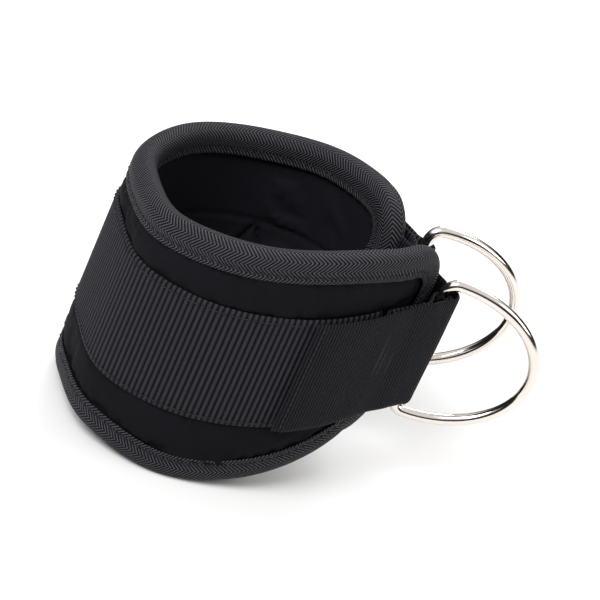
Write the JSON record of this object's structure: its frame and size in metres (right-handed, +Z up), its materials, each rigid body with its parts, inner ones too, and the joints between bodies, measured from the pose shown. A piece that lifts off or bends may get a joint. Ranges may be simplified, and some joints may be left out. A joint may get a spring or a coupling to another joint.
{
  "type": "ankle strap",
  "caption": "Padded foam ankle cuff with bound edges, webbing strap, hook-and-loop flap and metal D-rings for a cable clip.",
  "frame": {"origin": "on the resting surface, under the middle of the whole object's bounding box", "axes": "+Z runs up the leg, +X points to the D-ring end, -Y is the near side that carries the closing flap"},
  "size_m": [0.184, 0.1104, 0.1085],
  "materials": {
    "foam": "closed-cell foam sheet, matt",
    "cover": "smooth black knit face",
    "lining": "soft black lining",
    "binding": "herringbone edge tape",
    "webbing": "ribbed black webbing",
    "hook": "hook tape",
    "loop": "brushed loop tape",
    "ring": "polished plated wire"
  },
  "bodies": {
    "far_half": {"foam_far": "foam", "outer_cover_far": "cover", "lining_far": "lining", "edge_binding_far": "binding", "base_strap_far": "webbing", "back_ring_tab": "webbing", "crossing_strip": "webbing"},
    "near_half": {"foam_near": "foam", "outer_cover_near": "cover", "lining_near": "lining", "edge_binding_near": "binding", "base_strap_near": "webbing", "front_ring_tab": "webbing", "closure_fold": "webbing", "loop_tape": "loop"},
    "flap_root_link": {"flap_root": "webbing"},
    "flap_tip_link": {"flap_tip": "webbing", "hook_tape": "hook"},
    "front_ring_body": {"front_ring": "ring"},
    "back_ring_body": {"back_ring": "ring"}
  },
  "joints": [
    {"name": "cuff_open", "type": "hinge", "parent": "far_half", "child": "near_half", "pos_m": [-0.08977, -0.0009, 0.02], "axis": [-0.158, 0.0006, -0.9874], "range_deg": [0, 20], "stiffness_Nm_per_rad": 0.06},
    {"name": "flap_peel", "type": "hinge", "parent": "near_half", "child": "flap_root_link", "pos_m": [0.04837, -0.0238, 0.0615], "axis": [0.158, 0.0085, 0.9874], "range_deg": [0, 50]},
    {"name": "flap_curl", "type": "hinge", "parent": "flap_root_link", "child": "flap_tip_link", "pos_m": [0.0296, -0.03884, 0.05966], "axis": [0.158, 0.0145, 0.9873], "range_deg": [0, 50]},
    {"name": "front_ring_swing", "type": "hinge", "parent": "near_half", "child": "front_ring_body", "pos_m": [0.04449, -0.01876, 0.0615], "axis": [0.158, 0.0065, 0.9874], "range_deg": [-40, 20]},
    {"name": "back_ring_swing", "type": "hinge", "parent": "far_half", "child": "back_ring_body", "pos_m": [0.03535, 0.00361, 0.07], "axis": [0.158, -0.0024, 0.9874], "range_deg": [-15, 55]}
  ],
  "couplings": [
    {"joint": "flap_curl", "follows": "flap_peel", "ratio": 1}
  ]
}
